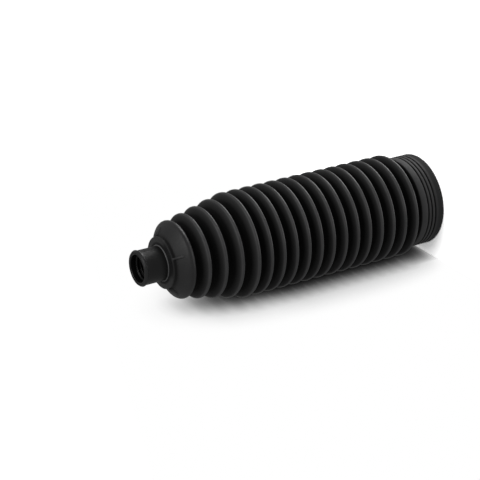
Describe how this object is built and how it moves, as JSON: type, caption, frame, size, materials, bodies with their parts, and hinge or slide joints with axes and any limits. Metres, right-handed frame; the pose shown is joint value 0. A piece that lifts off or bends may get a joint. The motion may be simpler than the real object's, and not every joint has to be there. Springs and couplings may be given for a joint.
{
  "type": "rubber bellows boot",
  "caption": "Hollow one-piece rubber bellows boot: a grooved cuff at the large end, a stack of round folds that tapers to a collar, and a slim beaded neck with inner sealing ribs.",
  "frame": {"origin": "centre of the large end's face, which the boot stands on", "axes": "+Z along the boot's axis from the large end to the small end; +X through one of the four gussets at the collar"},
  "size_m": [0.06, 0.06, 0.1877],
  "materials": {
    "rubber": "satin black moulded rubber with a fine grain"
  },
  "bodies": {
    "root": {"bellows_boot": "rubber"}
  },
  "joints": []
}
